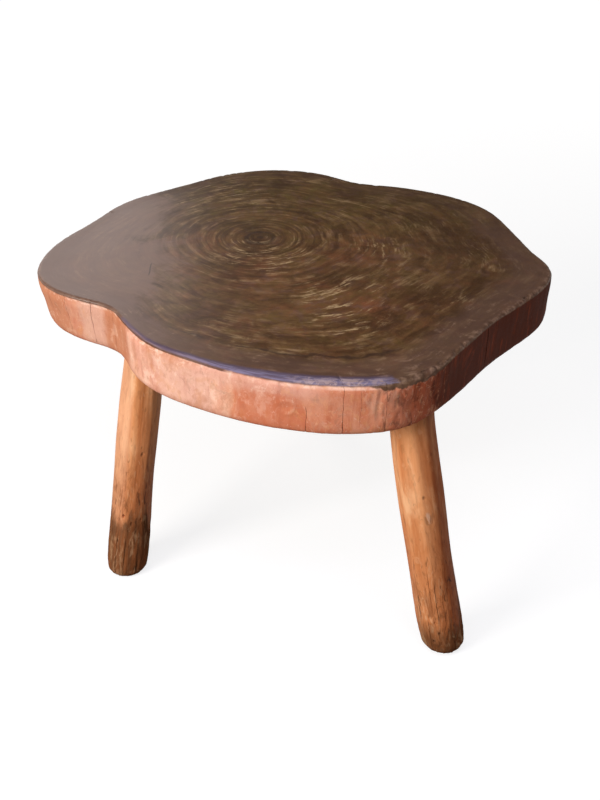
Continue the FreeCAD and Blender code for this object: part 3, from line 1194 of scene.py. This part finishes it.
    def face_point(self, column: int, columns: int, share: float) -> Vector:
        """A vertex of the stained face on a growth ring.

        Args:
            column: its column.
            columns: how many columns its ring has.
            share: which growth ring it is on, 1 at the rim.

        Returns:
            Its place.
        """
        whole = columns == self.columns
        bearing = self.bearing(column, TABLE_HEIGHT) if whole else column * 360.0 / columns
        place = PITH + heading(bearing) * self.layout(bearing, share)
        rim_fade = smoothstep(1.0 - share, 0.0, 0.10)
        dip = (noise.noise(Vector((place.x * 8.0, place.y * 8.0, 2.0))) * 0.5 + 0.5) * 0.0008 * rim_fade
        dip += (noise.noise(Vector((place.x * 26.0, place.y * 26.0, 5.0))) * 0.5 + 0.5) * 0.0003 * rim_fade
        if whole and column in self.splits:
            check, offset = self.splits[column]
            inward = (1.0 - share) * self.mean_reach
            if offset == 0 and check.onto_top > 0.0:
                dip += check.depth * 0.35 * (1.0 - smoothstep(inward, 0.0, check.onto_top))
        return Vector((place.x, place.y, TABLE_HEIGHT - dip))

    def under_point(self, column: int) -> Vector:
        """A vertex of the underside, a little way in from its edge."""
        outward = heading(self.own_bearing(column))
        reach = self.skin.outer(pith_at(UNDERSIDE + FEEL_STEP), outward)
        return pith_at(UNDERSIDE) + outward * (reach - self.under_step)

    def bore_round(self, column: int, leg: "HewnLeg") -> Vector:
        """A point on the bore's round, square to its axis, where the axis meets the underside."""
        turn = column * math.tau / self.mouth_columns
        across = leg.axis.cross(Vector((0.0, 1.0, 0.0))).normalized()
        along = leg.axis.cross(across)
        offset = across * math.cos(turn) + along * math.sin(turn)
        return leg.socket + offset * self.mortise_radius

    def mouth_point(self, column: int, leg: "HewnLeg") -> Vector:
        """A vertex of a mortise's mouth: the bore's round, cut level."""
        point = self.bore_round(column, leg)
        return point - leg.axis * ((point.z - UNDERSIDE) / leg.axis.z)

    def bore_point(self, column: int, leg: "HewnLeg") -> Vector:
        """A vertex of a mortise's floor."""
        return self.bore_round(column, leg) + leg.axis * self.mortise_depth

    def build_wall(self, skin: RingSkin) -> list[bmesh.types.BMEdge]:
        """Grows the wall from its lower edge to the rim and returns the lower edge's ring."""
        feel = UNDERSIDE + FEEL_STEP
        lowest = partial(self.wall_point, height=UNDERSIDE, inset=self.under_inset, felt=feel)
        skin.start(self.columns, lowest)
        first = skin.edges
        for turn in quarter_turns(self.foot_rows):
            height = UNDERSIDE + self.under_round * (1.0 - math.cos(turn))
            skin.grow(partial(self.wall_point, height=height, inset=0.0, felt=max(height, feel)))
        low = UNDERSIDE + self.under_round
        for row in range(1, self.wall_rows + 1):
            skin.grow(partial(self.rising_point, low=low, share=row / self.wall_rows))
        for turn in quarter_turns(self.rim_rows):
            skin.grow(partial(self.rim_point, turn=turn))
        return first

    def build_face(self, skin: RingSkin) -> None:
        """Grows the stained face from the rim to the pith, with fewer columns as the rings close."""
        columns = self.columns
        for share in self.rim_shares:
            skin.grow(partial(self.face_point, columns=columns, share=share))
        for columns, widest, rings in self.face_rings:
            skin.regrow(columns, partial(self.face_point, columns=columns, share=widest))
            for row in range(1, rings):
                share = widest - self.ring_step * row
                skin.grow(partial(self.face_point, columns=columns, share=share))
        for share in self.heart_shares:
            skin.grow(partial(self.face_point, columns=columns, share=share))
        skin.cap()

    def build_underside(self, skin: RingSkin, lower_edge: list[bmesh.types.BMEdge]) -> None:
        """Fills the sawn underside round the mouths of the mortises and drives the mortises in.

        Args:
            skin: the slab's skin.
            lower_edge: the ring at the wall's lower edge.
        """
        skin.edges = lower_edge
        skin.verts = list({vert for edge in lower_edge for vert in edge.verts})
        skin.grow(self.under_point)
        loops = list(skin.edges)
        mouths = []
        for leg in self.legs:
            skin.start(self.mouth_columns, partial(self.mouth_point, leg=leg))
            mouths.append((leg, skin.verts, skin.edges))
            loops += skin.edges
        down = (0.0, 0.0, -1.0)
        bmesh.ops.triangle_fill(skin.mesh, use_beauty=False, use_dissolve=False, edges=loops, normal=down)
        for leg, verts, edges in mouths:
            skin.verts, skin.edges = verts, edges
            skin.grow(partial(self.bore_point, leg=leg))
            skin.cap()

    def paint(self, mesh: bmesh.types.BMesh, column: bmesh.types.BMLayerItem) -> None:
        """Writes which growth ring each vertex is on, and how much of a check's darkness it has."""
        growth = mesh.verts.layers.float.new(Trait.GROWTH.value)
        dark = mesh.verts.layers.float.new(Trait.CHECK.value)
        for vert in mesh.verts:
            vert[growth] = self.growth_at(vert.co)
            if vert.co.z > UNDERSIDE + 0.001 and vert[growth] > self.wall_growth:
                depth = self.split_depth(vert[column], vert.co.z)
                vert[dark] = min(depth / self.darkest_depth, 1.0) * DEEPEST_DARK

    def build(self, finish: SlabFinish) -> bpy.types.Object:
        """Builds and dresses the slab.

        Args:
            finish: its finish.

        Returns:
            The finished piece.
        """
        skin = RingSkin()
        lower_edge = self.build_wall(skin)
        self.build_face(skin)
        self.build_underside(skin, lower_edge)
        self.paint(skin.mesh, skin.column)
        piece = to_object(skin.mesh, "live_edge_slab", finish.material())
        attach(piece, BODY)
        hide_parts(self.node)
        return piece


@dataclass(frozen=True)
class Pit:
    """A small hollow in a leg: an insect's hole or the scar of a twig."""

    bearing: float
    height: float
    radius: float
    depth: float


@dataclass
class HewnLeg:
    """One splayed pole leg with its hewn flats, drying checks, pits and worn foot."""

    name: str
    socket_at: tuple[float, float]
    foot_at: tuple[float, float]
    flats: int
    first_flat: float
    checks: tuple[Check, ...]
    pits: tuple[Pit, ...]
    seed: float
    foot_round: float
    hewn: float
    arris: float
    soil_height: float
    soil_fade: float
    # How the painted shade lies round the leg with its darkening towards the foot, and how strong the
    # painted light on the lit side is
    shade_from: float
    shade_fade: float
    side_shade: float = 0.5
    edge_shade: float = 0.2
    low_darkening: float = 0.2
    soften: float = 0.0
    lit_side: float = 0.0
    columns: int = 180
    rows: int = 210
    foot_rows: int = 10
    skin_depth: float = 0.0005
    check_fade: float = 0.018
    darkest_depth: float = 0.003
    shoulder_gap: float = 0.0005

    def __post_init__(self) -> None:
        """Feels the solid and finds the columns that the checks take."""
        self.node = "leg_" + self.name
        self.skin = CadSkin(self.node)
        self.socket = Vector((*self.socket_at, UNDERSIDE))
        self.foot = Vector((*self.foot_at, 0.0))
        self.axis = (self.socket - self.foot).normalized()
        self.splits = split_columns(self.checks, self.columns)

    def centre(self, height: float) -> Vector:
        """The middle of the leg at a height."""
        return self.foot + (self.socket - self.foot) * (height / UNDERSIDE)

    def ripple(self, bearing: float, height: float, round_waves: float, rise: float, layer: float) -> float:
        """Smooth noise round the leg.

        Args:
            bearing: where on the leg, in degrees.
            height: the height.
            round_waves: how close the waves lie round the leg.
            rise: how close they lie up the leg.
            layer: which of the leg's noises this is.

        Returns:
            The noise, about 0 on the average.
        """
        return noise.noise(heading(bearing) * round_waves + Vector((self.seed, layer, height * rise)))

    def relief(self, bearing: float, height: float) -> float:
        """How far the surface lies inside the solid's: hewn flats, knife hollows, a worn foot and pits."""
        turn = math.radians(bearing - self.first_flat)
        strength = 0.55 + 0.75 * self.ripple(bearing, height, 1.6, 5.0, 0.0)
        strength += 0.35 * smoothstep(height, 0.10, 0.30)
        strength *= smoothstep(height, 0.0, 0.08)
        depth = self.skin_depth + abs(math.cos(self.flats * turn / 2.0)) * self.arris * max(strength, 0.0)
        depth += noise.noise(heading(bearing) * 2.4 + Vector((0.0, self.seed, height * 16.0))) * 0.0005
        depth += self.ripple(bearing, height, 9.0, 22.0, 3.0) * 0.00025
        rough = 1.0 - smoothstep(height, 0.02, 0.13)
        depth += self.ripple(bearing, height, 6.5, 46.0, 9.0) * 0.0009 * rough
        depth += self.ripple(bearing, height, 15.0, 90.0, 5.0) * 0.0005 * rough
        rounded = max(1.0 - smoothstep(height, 0.015, 0.11), self.soften)
        depth += rounded * self.hewn * (1.0 - math.cos(self.flats * turn)) / 2.0
        for pit in self.pits:
            across = math.radians((bearing - pit.bearing + 180.0) % 360.0 - 180.0) * LEG_RADIUS
            depth += pit.depth * hump(math.hypot(across, (height - pit.height) * 0.7), 0.0, pit.radius)
        return max(depth, 0.0)

    def point(self, column: int, height: float, inset: float) -> Vector:
        """A vertex of the pole.

        Args:
            column: its column.
            height: its height.
            inset: how far it is drawn in for the rounded foot.

        Returns:
            Its place.
        """
        bearing = column * 360.0 / self.columns
        split = 0.0
        if column in self.splits:
            check, offset = self.splits[column]
            bearing = check.lies_at(height, LEG_RADIUS, offset)
            split = check.depth * check.open_at(height, self.check_fade) if offset == 0 else 0.0
        felt = min(max(height, self.foot_round), UNDERSIDE - self.shoulder_gap)
        reach = self.skin.outer(self.centre(felt), heading(bearing))
        reach -= inset + self.relief(bearing, height) + split
        return self.centre(height) + heading(bearing) * reach

    def point_at(self, bearing: float, height: float) -> Vector:
        """A point of the solid's surface at a bearing and a height."""
        reach = self.skin.outer(self.centre(height), heading(bearing))
        return self.centre(height) + heading(bearing) * reach

    def in_grain(self, point: Vector) -> Vector:
        """A point turned to run along the leg's own grain, apart from the other legs."""
        turn = self.axis.rotation_difference(Vector((0.0, 0.0, 1.0))).to_matrix()
        return turn @ (point - self.foot) + Vector((self.seed, self.seed * 0.37, 0.0))

    def build_pole(self, skin: RingSkin) -> None:
        """Grows the pole from the flat under its foot to the shoulder below the slab."""
        skin.start(self.columns, partial(self.point, height=0.0, inset=self.foot_round))
        first_verts, first_edges = skin.verts, skin.edges
        for turn in quarter_turns(self.foot_rows):
            height = self.foot_round * (1.0 - math.cos(turn))
            inset = self.foot_round * (1.0 - math.sin(turn))
            skin.grow(partial(self.point, height=height, inset=inset))
        for row in range(1, self.rows + 1):
            height = self.foot_round + (UNDERSIDE - self.foot_round) * row / self.rows
            skin.grow(partial(self.point, height=height, inset=0.0))
        skin.cap()
        skin.verts, skin.edges = first_verts, first_edges
        skin.cap()

    def add_tenon(self, mesh: bmesh.types.BMesh) -> None:
        """Adds the kerfed tenon of the solid, cut off level at the shoulder and closed there."""
        tenon = bmesh.new()
        tenon.from_mesh(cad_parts[self.node].data)
        bmesh.ops.remove_doubles(tenon, verts=tenon.verts, dist=0.000002)
        parts = list(tenon.verts) + list(tenon.edges) + list(tenon.faces)
        level = Vector((0.0, 0.0, UNDERSIDE + 0.0002))
        bmesh.ops.bisect_plane(tenon, geom=parts, plane_co=level, plane_no=(0.0, 0.0, 1.0), clear_inner=True)
        bmesh.ops.holes_fill(tenon, edges=tenon.edges)
        copy = bpy.data.meshes.new("tenon")
        tenon.to_mesh(copy)
        tenon.free()
        mesh.from_mesh(copy)
        bpy.data.meshes.remove(copy)

    def paint(self, mesh: bmesh.types.BMesh, column: bmesh.types.BMLayerItem) -> None:
        """Writes each vertex's place in the grain, its dirt, its painted shade and darkening towards the
        foot, its painted light and darkness in a check.
        """
        layers = mesh.verts.layers
        grain = layers.float_vector.new(Trait.GRAIN.value)
        dark = layers.float.new(Trait.CHECK.value)
        soil = layers.float.new(Trait.SOIL.value)
        shade_and_darkening = layers.float.new(Trait.AGED.value)
        lit_side = layers.float.new(Trait.SUNNED.value)
        mouths = [(self.point_at(pit.bearing, pit.height), pit.radius * 1.2) for pit in self.pits]
        clean, dirty = self.soil_height + self.soil_fade, self.soil_height - self.soil_fade
        for vert in mesh.verts:
            height = vert.co.z
            vert[grain] = self.in_grain(vert.co)
            out = vert.co - self.centre(height)
            bearing = math.degrees(math.atan2(out.y, out.x)) % 360.0
            stray = self.ripple(bearing, 0.0, 1.8, 0.0, 0.0) * 0.034
            stray += self.ripple(bearing, 0.0, 6.0, 0.0, 2.0) * 0.010
            vert[soil] = 1.0 - smoothstep(height + stray, dirty, clean)
            # Painted shade on the side turned from the light and at the outer edge, and darker towards the
            # foot
            turned = plateau(bearing, self.shade_from + self.shade_fade, 420.0, self.shade_fade) * self.side_shade
            outer = plateau(bearing, 312.0, 420.0, 22.0) * self.edge_shade
            low = (1.0 - smoothstep(height, 0.11, 0.28)) * self.low_darkening
            vert[shade_and_darkening] = min(turned + outer + low, 1.0)
            # Painted light on the lit side
            vert[lit_side] = plateau(bearing, 170.0, 240.0, 20.0) * self.lit_side
            check, offset = self.splits.get(vert[column], (None, 1))
            if check is not None and offset == 0 and height < UNDERSIDE:
                shown = min(check.depth / self.darkest_depth, 1.0) * DEEPEST_DARK
                vert[dark] = check.open_at(height, self.check_fade) * shown
            for mouth, radius in mouths:
                vert[dark] = max(vert[dark], hump((vert.co - mouth).length, 0.0, radius))

    def build(self, finish: PoleFinish, material: bpy.types.Material) -> bpy.types.Object:
        """Builds and dresses the leg.

        Args:
            finish: the finish that all legs share; it is not used.
            material: that finish's material.

        Returns:
            The finished piece.
        """
        skin = RingSkin()
        self.build_pole(skin)
        self.paint(skin.mesh, skin.column)
        self.add_tenon(skin.mesh)
        piece = to_object(skin.mesh, "hewn_leg_" + self.name, material)
        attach(piece, BODY)
        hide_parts(self.node)
        return piece


@dataclass(frozen=True)
class Softbox:
    """A soft rectangular studio lamp."""

    name: str
    place: Triple
    aim: Triple
    width: float
    height: float
    watts: float
    colour: Triple

    def build(self) -> None:
        """Hangs the lamp and turns it to its aim."""
        lamp = bpy.data.lights.new(self.name, "AREA")
        lamp.shape = "RECTANGLE"
        lamp.size = self.width
        lamp.size_y = self.height
        lamp.energy = self.watts
        lamp.color = self.colour
        holder = bpy.data.objects.new(self.name, lamp)
        holder.location = self.place
        direction = Vector(self.aim) - Vector(self.place)
        holder.rotation_euler = direction.to_track_quat("-Z", "Y").to_euler()
        bpy.context.scene.collection.objects.link(holder)


@dataclass
class Studio:
    """Pale floor, soft lamps and a camera at the photograph's angle."""

    floor_radius: float = 7.0
    floor_segments: int = 96
    floor_grey: Colour = (0.30, 0.30, 0.30, 1.0)
    near_glow: Colour = (0.80, 0.80, 0.80, 1.0)
    far_glow: Colour = (0.97, 0.97, 0.97, 1.0)
    glow_from: float = 0.7
    glow_to: float = 3.2
    backdrop_height: float = 1.8
    backdrop_rows: int = 8
    camera_place: Triple = (0.0086, -1.5147, 1.1662)
    pitch_down: float = 32.0
    lens: float = 54.0
    sensor: float = 36.0
    world_grey: float = 0.11
    lamps: tuple[Softbox, ...] = (
        Softbox("key", (-2.0, -1.7, 1.35), (0.0, 0.0, 0.36), 1.3, 1.1, 82.0, (1.0, 0.96, 0.92)),
        Softbox("sheen", (-1.15, 2.0, 1.38), (-0.15, 0.0, 0.45), 1.6, 1.1, 12.5, (1.0, 0.91, 0.88)),
        Softbox("sky", (0.1, -0.9, 2.3), (0.0, -0.1, 0.45), 1.8, 1.0, 15.0, (1.0, 0.98, 0.95)),
        Softbox("fill", (1.6, -0.9, 0.30), (0.0, -0.1, 0.20), 1.2, 0.6, 4.0, (1.0, 0.93, 0.86)),
        Softbox("rim_strip", (0.1, -1.25, 1.95), (0.0, -0.3, 0.45), 1.5, 0.22, 7.0, (0.50, 0.58, 1.0)),
    )

    def floor_material(self) -> bpy.types.Material:
        """Builds the floor's finish: white to the camera, grey to the light that falls on the table."""
        graph = Graph("studio_floor")
        spread = graph.place().length().step(self.glow_from, self.glow_to)
        glowing = graph.mix(spread, self.near_glow, self.far_glow)
        diffuse = graph.node("BsdfDiffuse", None, {"Color": self.floor_grey})
        glow = graph.node("Emission", None, {"Color": glowing, "Strength": 1.0})
        lit = graph.node("AddShader", None, {0: diffuse, 1: glow})
        path = graph.node("LightPath").socket.node
        seen = Wire(graph, path.outputs["Is Camera Ray"]) + Wire(graph, path.outputs["Is Glossy Ray"])
        seen = seen + Wire(graph, path.outputs["Is Transmission Ray"])
        surface = graph.node("MixShader", None, {0: graph.math("MINIMUM", seen, 1.0), 1: diffuse, 2: lit})
        graph.node("OutputMaterial", None, {"Surface": surface})
        return graph.material

    def floor(self) -> None:
        """Lays the floor with its raised far edge; it keeps the table's shadow."""
        plane = bmesh.new()
        bmesh.ops.create_circle(plane, cap_ends=True, segments=self.floor_segments, radius=self.floor_radius)
        edges = [edge for edge in plane.edges if edge.is_boundary]
        for turn in quarter_turns(self.backdrop_rows):
            scale = 1.0 + self.backdrop_height * math.sin(turn) / self.floor_radius
            rise = self.backdrop_height * (1.0 - math.cos(turn))
            grown = bmesh.ops.extrude_edge_only(plane, edges=edges)["geom"]
            verts = [part for part in grown if isinstance(part, bmesh.types.BMVert)]
            edges = [part for part in grown if isinstance(part, bmesh.types.BMEdge) and part.is_boundary]
            for vert in verts:
                level = Vector((vert.co.x, vert.co.y, 0.0)).normalized() * self.floor_radius * scale
                vert.co = Vector((level.x, level.y, rise))
        data = bpy.data.meshes.new("studio_floor")
        plane.to_mesh(data)
        plane.free()
        data.materials.append(self.floor_material())
        floor = bpy.data.objects.new("studio_floor", data)
        bpy.context.scene.collection.objects.link(floor)

    def world(self) -> None:
        """Fills the room with an even, low light."""
        world = bpy.data.worlds.new("studio")
        world.use_nodes = True
        background = world.node_tree.nodes["Background"]
        background.inputs["Color"].default_value = (1.0, 1.0, 1.0, 1.0)
        background.inputs["Strength"].default_value = self.world_grey
        bpy.context.scene.world = world

    def camera(self) -> None:
        """Sets the camera where the photograph was taken from."""
        data = bpy.data.cameras.new("camera")
        data.lens = self.lens
        data.sensor_width = self.sensor
        data.sensor_fit = "AUTO"
        data.clip_end = 100.0
        holder = bpy.data.objects.new("camera", data)
        holder.location = self.camera_place
        holder.rotation_euler = (math.radians(90.0 - self.pitch_down), 0.0, 0.0)
        bpy.context.scene.collection.objects.link(holder)
        bpy.context.scene.camera = holder

    def build(self) -> None:
        """Sets up the whole studio."""
        self.floor()
        self.world()
        for lamp in self.lamps:
            lamp.build()
        self.camera()
        bpy.context.scene.view_settings.view_transform = "Standard"


def legs() -> list[HewnLeg]:
    """The three legs, with the marks that each one carries."""
    left = HewnLeg(
        name="left",
        socket_at=(-0.2006, -0.0728),
        foot_at=(-0.2502, -0.1223),
        flats=7,
        first_flat=27.0,
        checks=(
            Check(262.0, 0.0026, 0.0004, 0.020, 0.055),
            Check(236.0, 0.0022, 0.0004, 0.010, 0.060),
            Check(300.0, 0.0022, 0.0004, 0.030, 0.070),
            Check(80.0, 0.0040, 0.0006, -0.02, 0.150),
        ),
        pits=(
            Pit(250.0, 0.106, 0.0028, 0.0070),
            Pit(292.0, 0.204, 0.0034, 0.0018),
            Pit(276.0, 0.094, 0.0030, 0.0018),
            Pit(304.0, 0.098, 0.0026, 0.0016),
            Pit(238.0, 0.064, 0.0030, 0.0020),
        ),
        seed=1.7,
        foot_round=0.0136,
        hewn=0.0014,
        arris=0.0006,
        soil_height=0.102,
        soil_fade=0.032,
        shade_from=256.0,
        shade_fade=20.0,
        side_shade=0.22,
        edge_shade=0.0,
        low_darkening=0.34,
        soften=0.6,
        lit_side=0.38,
    )
    right = HewnLeg(
        name="right",
        socket_at=(0.1443, -0.2557),
        foot_at=(0.2073, -0.2864),
        flats=9,
        first_flat=5.0,
        checks=(
            Check(266.0, 0.0026, 0.0004, 0.075, 0.110),
            Check(238.0, 0.0020, 0.0003, 0.030, 0.048),
            Check(252.0, 0.0020, 0.0003, 0.110, 0.128),
            Check(284.0, 0.0020, 0.0003, 0.070, 0.096),
            Check(110.0, 0.0040, 0.0006, -0.02, 0.120),
        ),
        pits=(
            Pit(264.0, 0.044, 0.0030, 0.0030),
            Pit(272.0, 0.258, 0.0030, 0.0010),
            Pit(246.0, 0.030, 0.0026, 0.0022),
            Pit(256.0, 0.062, 0.0026, 0.0020),
        ),
        seed=4.3,
        foot_round=0.0200,
        hewn=0.0005,
        arris=0.0004,
        soil_height=0.050,
        soil_fade=0.050,
        shade_from=256.0,
        shade_fade=36.0,
        side_shade=0.52,
        edge_shade=0.54,
        low_darkening=0.15,
    )
    rear = HewnLeg(
        name="rear",
        socket_at=(0.0422, 0.2312),
        foot_at=(0.0483, 0.3010),
        flats=8,
        first_flat=12.0,
        checks=(Check(70.0, 0.0040, 0.0006, -0.02, 0.140), Check(140.0, 0.0034, 0.0005, 0.020, 0.180)),
        pits=(Pit(95.0, 0.210, 0.0040, 0.0022), Pit(30.0, 0.120, 0.0030, 0.0016)),
        seed=8.9,
        foot_round=0.0160,
        hewn=0.0010,
        arris=0.0009,
        soil_height=0.055,
        soil_fade=0.030,
        shade_from=262.0,
        shade_fade=40.0,
    )
    return [left, right, rear]


def main() -> None:
    """Builds the dressed table and its studio."""
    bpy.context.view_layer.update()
    stand = legs()
    slab = Slab(stand).build(SlabFinish())
    log.info("%s: %d faces", slab.name, len(slab.data.polygons))
    pole = PoleFinish()
    _, right, rear = stand
    scuffs = [right.in_grain(right.point_at(274.0, 0.226)), rear.in_grain(rear.point_at(100.0, 0.300))]
    pole_material = pole.material(scuffs)
    for leg in stand:
        piece = leg.build(pole, pole_material)
        log.info("%s: %d faces", piece.name, len(piece.data.polygons))
    wedge_material = WedgeFinish().material()
    for leg in stand:
        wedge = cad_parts["wedge_" + leg.name]
        wedge.data.materials.clear()
        wedge.data.materials.append(wedge_material)
        log.info("%s: carried over", wedge.name)
    Studio().build()
    bpy.context.view_layer.update()


if __name__ == "__main__":
    logging.basicConfig(level=logging.INFO)
    main()
